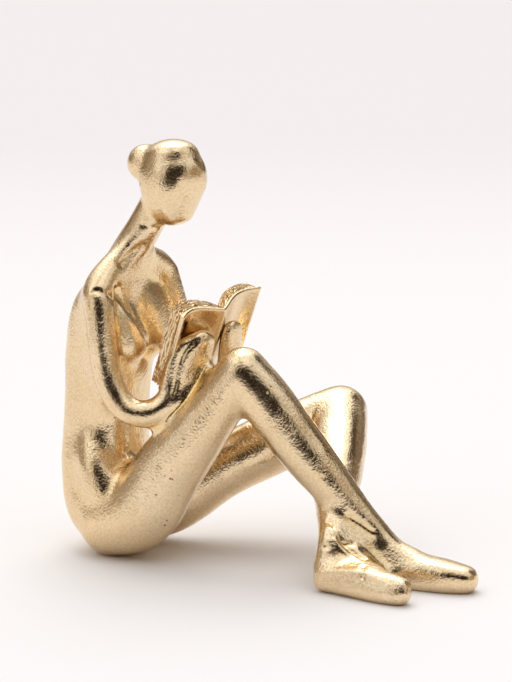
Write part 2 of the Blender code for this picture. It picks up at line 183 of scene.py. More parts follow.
def limb(stations, across, corner=2.0, dome=(1.0, 1.0), sides=48, step=0.9):
    """An oval carried along the curve through (x, y, z, half_across, half_through) stations.

    Grid of ring i and angle a: centre(i) + half_across(i) * wave(cos a) * first axis
    + half_through(i) * wave(sin a) * second axis, where wave(c) is sign(c) * |c|^(2 / corner).
    The first axis is across made square to the path. Each end shrinks as a quarter circle over
    dome times its mean half size, and closes with a flat cap of the last small ring.
    """
    rows = flowing(stations, step)
    centre, half = rows[:, :3], rows[:, 3:5]
    ahead = unit(np.gradient(centre, axis=0))
    angles = np.radians(np.arange(8.0, 90.0, 8.0))
    first = centre[0] - np.outer(np.sin(angles[::-1]) * dome[0] * half[0].mean(), ahead[0])
    last = centre[-1] + np.outer(np.sin(angles) * dome[1] * half[-1].mean(), ahead[-1])
    half = np.concatenate(
        [np.outer(np.cos(angles[::-1]), half[0]), half, np.outer(np.cos(angles), half[-1])]
    )
    centre = np.concatenate([first, centre, last])
    ahead = np.concatenate(
        [
            np.repeat(ahead[:1], len(angles), axis=0),
            ahead,
            np.repeat(ahead[-1:], len(angles), axis=0),
        ]
    )
    axis_one = unit(across - ahead * (ahead @ across)[:, None])
    axis_two = np.cross(ahead, axis_one)
    turn = np.linspace(0.0, 2 * math.pi, sides, endpoint=False)
    power = 2.0 / corner
    wave_one = np.sign(np.cos(turn)) * np.abs(np.cos(turn)) ** power
    wave_two = np.sign(np.sin(turn)) * np.abs(np.sin(turn)) ** power
    points = (
        centre[:, None]
        + (half[:, 0:1] * wave_one)[..., None] * axis_one[:, None]
        + (half[:, 1:2] * wave_two)[..., None] * axis_two[:, None]
    )
    rings = len(centre)
    ring, side = np.meshgrid(np.arange(rings - 1), np.arange(sides), indexing="ij")
    after = (side + 1) % sides
    quads = np.stack(
        [
            ring * sides + side,
            ring * sides + after,
            (ring + 1) * sides + after,
            (ring + 1) * sides + side,
        ],
        axis=-1,
    ).reshape(-1, 4)
    caps = [list(range(sides))[::-1], list(range((rings - 1) * sides, rings * sides))]
    return points.reshape(-1, 3) * SHARE, quads.tolist() + caps


def mound(centre, half_sizes, facing=FORWARD):
    """An egg: half_sizes are (along facing, sideways, up) around the centre."""
    along = unit(np.array(facing, float))
    middle = np.array(centre, float)
    shift = along * half_sizes[0] * 0.02
    rows = [(*(middle + shift * s), half_sizes[1], half_sizes[2]) for s in (-1, 0, 1)]
    reach = half_sizes[0] / (0.5 * (half_sizes[1] + half_sizes[2]))
    return limb(rows, np.cross(UPWARD, along), dome=(reach, reach), step=0.3)


def between(start, end, share):
    return tuple(np.array(start) + (np.array(end) - np.array(start)) * share)


def shell(name, pieces):
    """One object that holds every piece's shell, still crossing each other."""
    points, faces, count = [], [], 0
    for piece_points, piece_faces in pieces:
        points.append(piece_points)
        faces += [[index + count for index in face] for face in piece_faces]
        count += len(piece_points)
    mesh = bpy.data.meshes.new(name)
    mesh.from_pydata(np.concatenate(points).tolist(), [], faces)
    obj = bpy.data.objects.new(name, mesh)
    bpy.context.scene.collection.objects.link(obj)
    return obj


def remesh(obj, grid):
    step = obj.modifiers.new("skin", "REMESH")
    step.mode = "VOXEL"
    step.voxel_size = grid


def offset(obj, distance):
    step = obj.modifiers.new("offset", "DISPLACE")
    step.mid_level = 0.0
    step.strength = distance


def soften(obj, rounds):
    step = obj.modifiers.new("soften", "SMOOTH")
    step.factor = 0.5
    step.iterations = rounds


def settled(obj):
    """The object's shape with its modifiers worked out, as (points, faces); the object is removed."""
    bpy.context.view_layer.update()
    evaluated = obj.evaluated_get(bpy.context.evaluated_depsgraph_get())
    mesh = bpy.data.meshes.new_from_object(evaluated)
    points = np.empty(len(mesh.vertices) * 3, np.float32)
    mesh.vertices.foreach_get("co", points)
    faces = [list(face.vertices) for face in mesh.polygons]
    old = obj.data
    bpy.data.objects.remove(obj)
    bpy.data.meshes.remove(old)
    bpy.data.meshes.remove(mesh)
    return points.reshape(-1, 3).astype(float), faces


def melted(pieces, fillet, grid, rounds):
    """The pieces grown into one skin whose inner corners are filled to about a radius of fillet.

    The skin is pushed out by the fillet, remade and drawn back: valleys stay filled, ridges return.
    """
    obj = shell("melt", pieces)
    remesh(obj, grid)
    offset(obj, fillet)
    remesh(obj, grid)
    offset(obj, -fillet)
    remesh(obj, grid)
    soften(obj, rounds)
    return settled(obj)


def torso():
    """Seat, waist, ribs and shoulders: a rounded box that leans back, then forward at the neck."""
    return limb(
        [
            (-2.8, 0.0, 8.4, 14.8, 11.4),
            (-7.2, 0.0, 15.2, 15.6, 12.8),
            (-10.5, 0.0, 24.0, 13.6, 11.6),
            (-10.8, 0.0, 34.0, 12.2, 11.1),
            (-10.2, 0.0, 46.0, 11.9, 10.9),
            (-9.2, 0.0, 58.0, 13.0, 11.0),
            (-8.0, 0.0, 67.0, 14.0, 10.3),
            (-6.0, 0.0, 74.5, 14.0, 8.7),
            (-4.2, 0.0, 79.0, 11.0, 6.2),
        ],
        LEFTWARD,
        corner=3.1,
        dome=(0.78, 0.5),
    )


def shoulders():
    """The slope from the neck to each shoulder; the far shoulder is carried forward."""
    near = limb(
        [
            (-1.6, -2.5, 87.0, 3.6, 4.2),
            (-3.0, -6.8, 84.4, 4.0, 4.2),
            (-4.2, -11.2, 80.4, 4.8, 4.5),
            (*NEAR_SHOULDER, 5.0, 4.8),
        ],
        FORWARD,
    )
    far = limb(
        [
            (-1.8, 3.5, 84.8, 3.6, 3.8),
            (-1.3, 8.0, 84.6, 4.0, 4.1),
            (-0.7, 12.0, 82.9, 4.6, 4.5),
            (*FAR_SHOULDER, 4.8, 4.6),
        ],
        FORWARD,
    )
    return [near, far]


def neck():
    return limb(
        [
            (-4.2, 0.0, 84.5, 6.0, 5.4),
            (-0.9, 0.0, 89.4, 5.5, 5.4),
            (2.4, 0.0, 94.2, 5.0, 5.3),
            (5.6, 0.0, 99.4, 5.0, 5.2),
            (8.4, 0.0, 104.4, 5.0, 5.0),
        ],
        LEFTWARD,
    )


def head():
    """A smooth egg without a face, broad at the crown and blunt at the chin."""
    return limb(
        [
            (12.0, 0.0, 115.6, 7.1, 7.9),
            (12.2, 0.0, 112.4, 8.3, 9.6),
            (12.2, 0.0, 108.6, 8.6, 10.0),
            (12.3, 0.0, 105.0, 8.1, 9.3),
            (12.9, 0.0, 101.6, 6.9, 7.6),
            (13.6, 0.0, 99.0, 5.5, 5.7),
            (14.1, 0.0, 97.4, 4.3, 4.2),
        ],
        LEFTWARD,
        dome=(0.62, 0.30),
    )


def breasts():
    """A slim drop on the near side, and a broad one that runs into the breastbone."""
    near = limb(
        [
            (-3.2, -9.0, 76.0, 3.0, 3.2),
            (-0.6, -7.8, 68.4, 4.6, 4.8),
            (1.0, -6.4, 61.8, 5.8, 5.4),
        ],
        LEFTWARD,
    )
    far = limb(
        [
            (-3.2, 4.6, 78.4, 8.6, 4.2),
            (-1.2, 5.8, 71.0, 9.6, 5.4),
            (-0.2, 6.6, 63.4, 9.2, 6.0),
        ],
        LEFTWARD,
    )
    return [near, far]


def thighs():
    near = limb(
        [
            (-4.2, -8.6, 10.3, 9.3, 10.8),
            (*NEAR_HIP, 9.5, 11.0),
            (*between(NEAR_HIP, NEAR_KNEE, 0.36), 9.1, 10.0),
            (*between(NEAR_HIP, NEAR_KNEE, 0.62), 8.2, 8.6),
            (*between(NEAR_HIP, NEAR_KNEE, 0.84), 7.3, 7.3),
            (*NEAR_KNEE, 7.0, 7.1),
        ],
        LEFTWARD,
    )
    far = limb(
        [
            (-5.2, 8.4, 10.4, 9.0, 10.6),
            (*FAR_HIP, 9.2, 10.8),
            (17.7, 19.1, 22.5, 8.8, 9.2),
            (30.2, 27.0, 29.5, 8.3, 9.3),
            (40.0, 33.1, 34.7, 8.0, 8.8),
            (*FAR_KNEE, 7.9, 8.2),
        ],
        np.array([-0.55, 0.83, 0.0]),
    )
    return near, far


def shins():
    near = limb(
        [
            (*NEAR_KNEE, 7.0, 7.1),
            (*between(NEAR_KNEE, NEAR_ANKLE, 0.15), 7.1, 7.5),
            (53.4, -3.6, 38.3, 7.0, 7.3),
            (61.9, -1.6, 28.0, 6.3, 6.4),
            (70.3, 0.4, 18.5, 5.0, 5.0),
            (*NEAR_ANKLE, 4.3, 4.6),
        ],
        LEFTWARD,
    )
    far = limb(
        [
            (*FAR_KNEE, 7.9, 7.9),
            (*between(FAR_KNEE, FAR_ANKLE, 0.15), 8.2, 7.8),
            (*between(FAR_KNEE, FAR_ANKLE, 0.40), 7.9, 7.3),
            (*between(FAR_KNEE, FAR_ANKLE, 0.68), 6.3, 6.0),
            (*between(FAR_KNEE, FAR_ANKLE, 0.88), 4.5, 4.5),
            (*FAR_ANKLE, 4.0, 4.0),
        ],
        FORWARD,
        dome=(1.0, 0.3),
    )
    return near, far


def near_foot():
    """Flat on the floor, pointing ahead."""
    sole = limb(
        [
            (77.0, 1.6, 3.4, 4.4, 4.2),
            (83.0, 2.2, 3.8, 5.0, 5.2),
            (90.5, 2.9, 3.8, 5.4, 5.0),
            (97.5, 3.6, 3.5, 5.1, 4.5),
            (102.4, 4.2, 3.3, 4.0, 3.8),
        ],
        LEFTWARD,
        corner=3.0,
        dome=(0.8, 0.62),
    )
    instep = limb(
        [
            (*NEAR_ANKLE, 4.3, 4.6),
            (80.2, 2.2, 8.2, 4.4, 4.7),
            (85.5, 2.8, 6.4, 4.6, 4.4),
        ],
        LEFTWARD,
        dome=(0.4, 1.0),
    )
    return [sole, instep]


def far_foot():
    """On its outer edge, with the sole turned to the near side."""
    sole = limb(
        [
            (65.8, -12.6, 4.2, 4.7, 3.5),
            (72.0, -13.1, 4.2, 4.6, 3.6),
            (79.0, -13.9, 4.0, 4.7, 3.6),
            (86.0, -14.6, 3.7, 4.5, 3.6),
            (92.0, -15.0, 3.5, 3.7, 3.2),
        ],
        np.array([0.0, 0.32, 0.95]),
        corner=3.0,
        dome=(0.5, 0.42),
    )
    heel = limb(
        [
            (*FAR_ANKLE, 4.0, 4.0),
            (66.8, -9.9, 9.6, 3.9, 3.9),
            (66.8, -10.9, 6.2, 4.2, 4.4),
        ],
        LEFTWARD,
        dome=(0.3, 1.0),
    )
    instep = limb(
        [
            (69.6, -6.6, 11.4, 3.2, 3.6),
            (75.5, -9.2, 6.8, 3.6, 3.8),
            (82.5, -12.0, 4.8, 3.6, 3.8),
        ],
        LEFTWARD,
    )
    start = between(FAR_ANKLE, NEAR_ANKLE, 0.2)
    web = limb([(*start, 3.0, 3.0), (*NEAR_ANKLE, 3.2, 3.4)], UPWARD)
    return [sole, heel, instep, web]


def near_arm():
    """Down beside the ribs, round the elbow and up the outside of the book, with a mitten hand."""
    return limb(
        [
            (*NEAR_SHOULDER, 4.6, 4.6),
            (-2.2, -15.9, 70.0, 4.3, 4.3),
            (-1.0, -16.5, 61.5, 4.2, 4.2),
            (0.9, -16.8, 53.2, 4.1, 4.1),
            (3.8, -16.8, 47.7, 4.0, 4.0),
            (8.0, -16.2, 44.4, 3.9, 3.9),
            (12.0, -14.4, 44.0, 3.9, 3.9),
            (15.4, -12.2, 45.8, 4.1, 4.0),
            (18.3, -9.4, 49.4, 4.8, 3.8),
            (20.0, -7.4, 54.0, 5.6, 3.7),
            (21.8, -6.0, 58.8, 6.2, 3.6),
            (23.4, -5.3, 62.4, 5.9, 3.4),
            (24.3, -5.0, 64.0, 4.9, 3.1),
        ],
        -NEAR_OPENS,
    )


def far_arm():
    """Down the far side, under the book and up to its spine."""
    return limb(
        [
            (*FAR_SHOULDER, 4.6, 4.6),
            (2.2, 16.6, 71.2, 4.3, 4.3),
            (4.4, 18.6, 61.5, 4.1, 4.1),
            (8.6, 21.0, 52.5, 4.0, 4.0),
            (13.2, 21.6, 47.6, 3.9, 3.9),
            (18.6, 18.0, 48.6, 3.7, 3.7),
            (23.0, 12.4, 53.0, 3.8, 3.3),
            (25.0, 9.4, 57.8, 4.2, 2.9),
            (26.2, 8.0, 62.4, 4.4, 2.5),
            (27.0, 7.6, 66.2, 3.8, 2.2),
        ],
        np.array([0.2, 0.95, 0.2]),
    )


def under_arm_filler():
    """The web of metal that joins the near upper arm to the back of the ribs."""
    return limb(
        [
            (-6.0, -12.0, 74.5, 3.8, 5.6),
            (-5.6, -12.4, 66.0, 3.6, 5.4),
            (-4.8, -12.6, 57.0, 3.4, 5.0),
            (-3.2, -12.6, 49.0, 3.0, 4.4),
        ],
        LEFTWARD,
    )


def hand_bed():
    """The flat pad of metal between the near hand and the cover that it holds."""
    return limb(
        [
            (16.4, -10.6, 48.6, 4.2, 2.0),
            (18.2, -8.6, 54.0, 5.6, 2.2),
            (19.8, -7.2, 59.0, 6.4, 2.2),
            (21.4, -6.4, 62.6, 6.0, 2.0),
        ],
        -NEAR_OPENS,
    )


def forearm_web():
    """The metal between the near forearm and the thigh that it rests on."""
    return limb(
        [
            (13.6, -9.6, 41.4, 2.6, 3.0),
            (19.4, -7.2, 46.8, 3.4, 3.4),
            (23.6, -5.6, 51.6, 3.6, 3.4),
            (26.2, -4.6, 54.8, 3.2, 3.0),
        ],
        LEFTWARD,
    )


def hip_fill():
    """The smooth hollow on the outside of the hip, between the waist and the raised thigh."""
    return limb(
        [
            (-10.0, -10.4, 34.0, 2.6, 4.0),
            (-7.6, -12.0, 26.6, 4.4, 5.4),
            (-4.4, -12.2, 19.6, 5.2, 6.0),
        ],
        LEFTWARD,
    )


def waves(points, length, seed, count=20):
    """Smooth random relief between about -1 and 1: the mean of plane waves of about the given
    length, each with its own direction and start, times the square root of their number."""
    dice = np.random.default_rng(seed)
    heading = unit(dice.normal(size=(count, 3)))
    pitch = 2 * math.pi / (length * dice.uniform(0.75, 1.35, count))
    start = dice.uniform(0.0, 2 * math.pi, count)
    return np.cos(points @ (heading * pitch[:, None]).T + start).mean(axis=1) * math.sqrt(count)


def outward(obj):
    """Each vertex's normal."""
    normals = np.empty(len(obj.data.vertices) * 3, np.float32)
    obj.data.vertices.foreach_get("normal", normals)
    return normals.reshape(-1, 3).astype(float)


def cast_skin(points, normals):
    """The unevenness of a hand-finished casting, as a shift along the normal.

    Long soft swells, shorter hammered dimples, and dimples that come and go in patches.
    """
    patch = np.clip(0.5 + 0.9 * waves(points, 0.016, 5), 0.0, 1.0)
    swell = 0.000040 * waves(points, 0.009, 2)
    dimple = 0.000008 * waves(points, 0.0034, 3, 28)
    pebble = 0.000009 * patch * waves(points, 0.0017, 4, 32)
    return points + normals * (swell + dimple + pebble)[:, None]


def places(obj):
    """Each vertex's place."""
    points = np.empty(len(obj.data.vertices) * 3, np.float32)
    obj.data.vertices.foreach_get("co", points)
    return points.reshape(-1, 3).astype(float)


def relaxed(obj, points, shares, weight=1.0):
    """Each round moves every vertex towards the mean of its neighbours by its share of the way."""
    ends = np.empty(len(obj.data.edges) * 2, np.int32)
    obj.data.edges.foreach_get("vertices", ends)
    one, other = ends[0::2], ends[1::2]
    count = len(points)
    degree = np.bincount(one, minlength=count) + np.bincount(other, minlength=count)
    for share in shares:
        total = np.stack(
            [
                np.bincount(one, points[other, k], count) + np.bincount(other, points[one, k], count)
                for k in range(3)
            ],
            axis=1,
        )
        points = points + (total / degree[:, None] - points) * np.reshape(share * weight, (-1, 1))
    return points


def smoothness(points):
    """How freely a place may be faired: all the way on head and limbs, little at hands and ankles."""
    weight = np.ones(len(points))
    for centre, radius in (((20.0, -8.0, 54.0), 15.0), ((72.0, -7.0, 9.0), 13.0)):
        away = np.linalg.norm(points - np.array(centre) * SHARE, axis=1) / (radius * SHARE)
        weight = np.minimum(weight, 0.25 + 0.75 * np.clip((away - 0.8) / 0.4, 0.0, 1.0))
    return weight


def hollowed(obj, rounds, depth):
    """Keeps on each vertex how hollow it lies, for the painted light of the finish: 1 is depth under
    its surroundings.

    The surroundings are the same skin after some rounds of smoothing.
    """
    points = places(obj)
    under = np.sum((relaxed(obj, points, (0.5,) * rounds) - points) * outward(obj), axis=1)
    kept = obj.data.attributes.new("hollow", "FLOAT", "POINT")
    kept.data.foreach_set("value", np.clip(under / depth, 0.0, 1.0).astype(np.float32))


# Marks of the mould and the tool: the places that a smooth curve goes through, in shares, then the
# mark's half width and its depth in shares. A depth below zero is a ridge.
MARKS = (
    # A pit under the bun.
    (((4.5, -5.0, 108.0), (4.5, -5.5, 108.5)), 0.6, 0.8),
    # A crease under the chin.
    (((5.0, -4.5, 96.0), (8.0, -2.0, 95.0)), 0.65, 0.5),
    # The hollow at the collar.
    (((0.0, -8.0, 85.5), (3.5, -3.0, 89.5)), 1.7, 1.0),
    # The gutters in front of and behind the near breast.
    (((0.5, -11.0, 78.0), (3.0, -7.5, 70.0), (5.0, -2.5, 60.5)), 1.1, 1.1),
    (((0.5, -11.0, 78.0), (1.0, -13.5, 68.0), (1.5, -13.0, 56.0)), 1.3, 0.9),
    # The rim of the near hand, and the seam below it that runs on along the forearm.
    (((26.0, -7.0, 66.0), (23.0, -10.5, 63.5), (19.5, -13.5, 50.0)), 0.65, 0.5),
    (((26.5, -6.0, 59.5), (22.0, -13.0, 47.5), (14.0, -15.0, 40.5)), 0.7, 0.6),
    # The two creases of the web between the crossed ankles, and the ridge between them.
    (((66.0, -8.5, 18.5), (71.5, -10.5, 13.0), (77.5, -10.0, 9.5)), 0.7, 0.8),
    (((67.0, -13.0, 12.5), (73.0, -8.5, 13.0)), 0.7, 0.6),
    (((69.0, -11.5, 14.0), (72.5, -11.0, 10.5)), 0.6, -0.5),
    # The crease across the raised leg's ankle.
    (((70.5, -5.0, 19.0), (76.5, -3.0, 15.0)), 1.3, 0.7),
    # The ridge along the outer edge of the crossed foot, and the toe's mark on it.
    (((65.5, -15.5, 5.5), (79.0, -16.0, 7.5), (92.5, -16.5, 3.5)), 0.9, -0.5),
    (((79.0, -14.0, 8.5), (80.0, -16.5, 6.5)), 0.6, 0.5),
    # The fold at the armpit.
    (((-2.5, -18.0, 78.5), (1.0, -14.0, 76.0)), 0.9, 0.7),
)


def marked(points, normals):
    """The skin with its marks, each sunk by depth * exp(-(distance to its curve / half width)^2)."""
    sunk = np.zeros(len(points))
    for path, half_width, depth in MARKS:
        curve = flowing(path, 2.0) * SHARE
        nearest = np.full(len(points), np.inf)
        for start, run in zip(curve[:-1], np.diff(curve, axis=0)):
            along = np.clip((points - start) @ run / (run @ run), 0.0, 1.0)
            away = np.linalg.norm(points - start - along[:, None] * run, axis=1)
            nearest = np.minimum(nearest, away)
        sunk += depth * SHARE * np.exp(-((nearest / (half_width * SHARE)) ** 2))
    return points - normals * sunk[:, None]


def make_figure():
    near_thigh, far_thigh = thighs()
    near_shin, far_shin = shins()
    bust = melted([torso(), neck(), under_arm_filler()] + shoulders(), 4.5 * SHARE, 0.0009, 8)
    trunk = melted([bust, near_thigh, far_thigh, hip_fill()], 1.8 * SHARE, 0.0007, 6)
    feet = melted([near_shin, far_shin] + near_foot() + far_foot(), 2.4 * SHARE, 0.0007, 4)
    limbs = melted(
        [trunk, feet, near_arm(), far_arm(), hand_bed(), forearm_web()] + breasts(),
        1.3 * SHARE,
        SKIN_GRID,
        8,
    )
    bun = mound((3.7, 0.0, 113.1), (5.5, 5.5, 5.5))
    points, faces = melted([limbs, head(), bun], 0.7 * SHARE, SKIN_GRID, 4)
    obj = shell("cast_figure", [(points, faces)])
    points = relaxed(obj, points, (0.5, -0.53) * 18, smoothness(points))
    obj.data.vertices.foreach_set("co", points.ravel())
    points = marked(points, outward(obj))
    obj.data.vertices.foreach_set("co", points.ravel())
    points = cast_skin(points, outward(obj)) - FLOOR_MIDDLE
    points[:, 2] = np.maximum(points[:, 2], 0.0)
    obj.data.vertices.foreach_set("co", points.ravel())
    # Marks the hollows that take painted bounce light.
    hollowed(obj, 30, 0.00060)
    return obj


# The open book.


def book_place(share, depth, lift, width_lost):
    """A place in the open book, as an array of points.

    share runs from -1 at the near fore-edge over 0 at the spine to 1 at the far fore-edge; depth
    is how far inside the covers' outer face it lies, lift how far up the spine, and width_lost
    how much narrower than its leaf the book is there. Each half goes straight out from the spine
    plus a bow of sin(pi * share^1.2) towards the reader, whose direction swings over at the spine.
    """
    reach = np.abs(share)
    near = share < 0
    opens = np.where(near[..., None], NEAR_OPENS, FAR_OPENS)
    width = np.where(near, NEAR_LEAF, FAR_LEAF) - width_lost
    bow = np.where(near, NEAR_BOW, FAR_BOW) * np.sin(math.pi * reach**1.2)
    turned = (0.5 + 0.5 * np.tanh(share / 0.2))[..., None]
    near_reader = unit(np.cross(NEAR_OPENS, SPINE_UP))
    far_reader = unit(np.cross(SPINE_UP, FAR_OPENS))
    reader = unit(near_reader * (1.0 - turned) + far_reader * turned)
    foot = SPINE_TOP - SPINE_UP * BOOK_TALL - FLOOR_MIDDLE
    return (
        foot
        + SPINE_UP * lift[..., None]
        + opens * (reach * width)[..., None]
        + reader * (bow + depth)[..., None]
    )


def boxed(name, place, wide, deep, tall):
    """The skin of a bent block: the six sides of the unit cube, each a grid, sent through place.

    wide, deep and tall are the samples from 0 to 1 along the block's three directions.
    """
    sides = []
    for first, second, third in ((0, 1, 2), (1, 2, 0), (2, 0, 1)):
        steps = (wide, deep, tall)
        one, two = np.meshgrid(steps[first], steps[second], indexing="ij")
        for end in (0.0, 1.0):
            cube = [None] * 3
            cube[first], cube[second], cube[third] = one, two, np.full_like(one, end)
            rows, columns = one.shape
            row, column = np.meshgrid(np.arange(rows - 1), np.arange(columns - 1), indexing="ij")
            corner = row * columns + column
            ring = [corner, corner + columns, corner + columns + 1, corner + 1]
            quads = np.stack(ring if end else ring[::-1], axis=-1).reshape(-1, 4)
            sides.append((place(*cube).reshape(-1, 3), quads.tolist()))
    obj = shell(name, sides)
    work = bmesh.new()
    work.from_mesh(obj.data)
    bmesh.ops.remove_doubles(work, verts=work.verts, dist=1e-7)
    bmesh.ops.recalc_face_normals(work, faces=work.faces)
    work.to_mesh(obj.data)
    work.free()
    return obj


def rounded(distance, radius):
    """How full a slab still is this far from its edge: a quarter circle, never under a quarter."""
    rest = 1.0 - np.clip(distance / radius, 0.0, 1.0)
    return np.maximum(np.sqrt(1.0 - rest**2), 0.25)


def edged(count, ends):
    """Samples from 0 to 1, drawn together near both ends."""
    t = np.linspace(0.0, 1.0, count)
    return t - ends * np.sin(2 * math.pi * t) / (2 * math.pi)


def cover_place(wide, deep, tall):
    """The cover: a bowed sheet with rounded edges, thicker in a bead at the near fore-edge."""
    share = 2 * wide - 1
    thick = COVER_THICK + COVER_BEAD * np.where(share < 0, np.abs(share) ** 8, 0.0)
    lift = tall * BOOK_TALL
    width = np.where(share < 0, NEAR_LEAF, FAR_LEAF)
    edge = np.minimum(np.minimum(lift, BOOK_TALL - lift), (1 - np.abs(share)) * width)
    full = rounded(edge, 0.0007)
    depth = np.where(deep > 0.5, thick, COVER_THICK) * (0.5 + (deep - 0.5) * full)
    return book_place(share, depth, lift, 0.0 * share)


def leaf_grooves(deep, along, seed):
    """Grooves between the leaves, 0 on a leaf and 1 deep in a groove.

    The groove is (1 - |sin(pi * phase)|^0.8) times how worn its leaf is there. The phase counts
    LEAVES across the block. It drifts with depth and wanders along the edge.
    """
    lean = 0.35 * np.sin(7.0 * deep + seed) + 0.2 * np.sin(19.0 * deep + 2 * seed)
    wander = 0.30 * np.sin(9.0 * along + 5.0 * deep + seed)
    wander = wander + 0.16 * np.sin(31.0 * along - 8.0 * deep)
    phase = LEAVES * deep + 0.3 * lean + wander
    worn = 0.75 + 0.25 * np.sin(17.0 * along + 4.0 * np.floor(phase) + seed)
    return (1.0 - np.abs(np.sin(math.pi * phase)) ** 0.8) * worn


def page_place(wide, deep, tall):
    """The pages: two bowed blocks that dip at the spine, with layered leaf edges all round."""
    share = 2 * wide - 1
    reach = np.abs(share)
    valley = 1.0 - 0.40 * np.exp(-reach / 0.07)
    near = valley + 0.16 * reach**6
    far = valley * (0.72 + 0.27 * reach**4) * np.sqrt(1.0 - 0.9 * reach**16)
    face = LEAF_THICK * np.where(share < 0, near, far)
    start = COVER_THICK / 2
    depth = start + deep * (face - start)
    inner = np.clip(1.0 - deep, 0.0, 1.0) ** 0.2
    lip = COVER_LIP + END_GROOVE * leaf_grooves(deep, wide * 2.4, 1.0) * inner
    lift = lip + tall * (BOOK_TALL - 2 * lip)
    side = COVER_LIP + SIDE_GROOVE * leaf_grooves(deep, tall, 2.3) * inner
    return book_place(share, depth, lift, side)


def make_cover():
    return boxed("book_cover", cover_place, edged(110, 0.3), edged(7, 0.0), edged(70, 0.5))


def make_pages():
    obj = boxed("book_pages", page_place, edged(150, 0.2), edged(91, 0.0), edged(96, 0.3))
    points = places(obj)
    crust = LEAF_CRUST * waves(points, LEAF_CRUST_WAVE, 8, 32)
    obj.data.vertices.foreach_set("co", (points + outward(obj) * crust[:, None]).ravel())
    # Marks the grooves between the leaves for their painted shade.
    hollowed(obj, 30, 0.00018)
    return obj


# The finish.


def new_group(name, inputs, outputs):
    """An empty shader node group with the given sockets, and its two end nodes."""
    group = bpy.data.node_groups.new(name, "ShaderNodeTree")
    for kind, title, value in inputs:
        socket = group.interface.new_socket(title, in_out="INPUT", socket_type=kind)
        if value is not None:
            socket.default_value = value
    for kind, title in outputs:
        group.interface.new_socket(title, in_out="OUTPUT", socket_type=kind)
    return group, group.nodes.new("NodeGroupInput"), group.nodes.new("NodeGroupOutput")


def add(tree, kind, **settings):
    """A node with its settings."""
    node = tree.nodes.new(kind)
    for key, value in settings.items():
        setattr(node, key, value)
    return node


def noise(tree, vector, scale, detail=2.0, roughness=0.5):
    node = add(tree, "ShaderNodeTexNoise")
    tree.links.new(vector, node.inputs["Vector"])
    node.inputs["Scale"].default_value = scale
    node.inputs["Detail"].default_value = detail
    node.inputs["Roughness"].default_value = roughness
    return node.outputs["Fac"]


def ranged(tree, value, low, high, new_low=0.0, new_high=1.0, smooth=False):
    node = add(tree, "ShaderNodeMapRange")
    if smooth:
        node.interpolation_type = "SMOOTHSTEP"
    tree.links.new(value, node.inputs["Value"])
    node.inputs["From Min"].default_value = low
    node.inputs["From Max"].default_value = high
    node.inputs["To Min"].default_value = new_low
    node.inputs["To Max"].default_value = new_high
    return node.outputs["Result"]


def maths(tree, operation, one, two):
    node = add(tree, "ShaderNodeMath", operation=operation)
    for socket, value in zip(node.inputs, (one, two)):
        if isinstance(value, (int, float)):
            socket.default_value = value
        else:
            tree.links.new(value, socket)
    return node.outputs["Value"]


def blend(tree, share, one, two):
    """Mix of two colours, each a socket or a plain red, green, blue triple."""
    node = add(tree, "ShaderNodeMix", data_type="RGBA")
    tree.links.new(share, node.inputs["Factor"])
    for socket, value in zip((node.inputs[6], node.inputs[7]), (one, two)):
        if isinstance(value, tuple):
            socket.default_value = (*value, 1.0)
        else:
            tree.links.new(value, socket)
    return node.outputs[2]


def plating_grain():
    """Sandy grain, soft dimples and scattered pits of thin plating over a cast skin, and the grain's
    low spots as a mask for painted shade.
    """
    group, given, made = new_group(
        "plating_grain",
        [
            ("NodeSocketVector", "Place", None),
            ("NodeSocketFloat", "Coarse", 0.5),
        ],
        [
            ("NodeSocketFloat", "Height"),
            ("NodeSocketFloat", "Pits"),
            ("NodeSocketFloat", "Cloud"),
            ("NodeSocketFloat", "Grain Shade"),
        ],
    )
    place = given.outputs["Place"]
    sand = noise(group, place, 1450.0, 2.0, 0.55)
    dimple = noise(group, place, 520.0, 1.0)
    cloud = noise(group, place, 60.0, 3.0, 0.55)
    spots = add(group, "ShaderNodeTexVoronoi")
    group.links.new(place, spots.inputs["Vector"])
    spots.inputs["Scale"].default_value = 420.0
    pits = ranged(group, spots.outputs["Distance"], 0.16, 0.08, smooth=True)
    pits = maths(group, "MULTIPLY", pits, ranged(group, cloud, 0.56, 0.66, smooth=True))
    patches = ranged(group, noise(group, place, 95.0, 2.0), 0.42, 0.62, 0.55, 1.5, smooth=True)
    height = maths(group, "MULTIPLY", sand, patches)
    coarse = maths(group, "MULTIPLY", dimple, given.outputs["Coarse"])
    height = maths(group, "ADD", height, coarse)
    height = maths(group, "SUBTRACT", height, maths(group, "MULTIPLY", pits, 1.2))
    group.links.new(height, made.inputs["Height"])
    group.links.new(pits, made.inputs["Pits"])
    group.links.new(cloud, made.inputs["Cloud"])
    # The grain's low spots, which take painted shade in the base colour.
    group.links.new(ranged(group, sand, 0.60, 0.40, smooth=True), made.inputs["Grain Shade"])
    return group


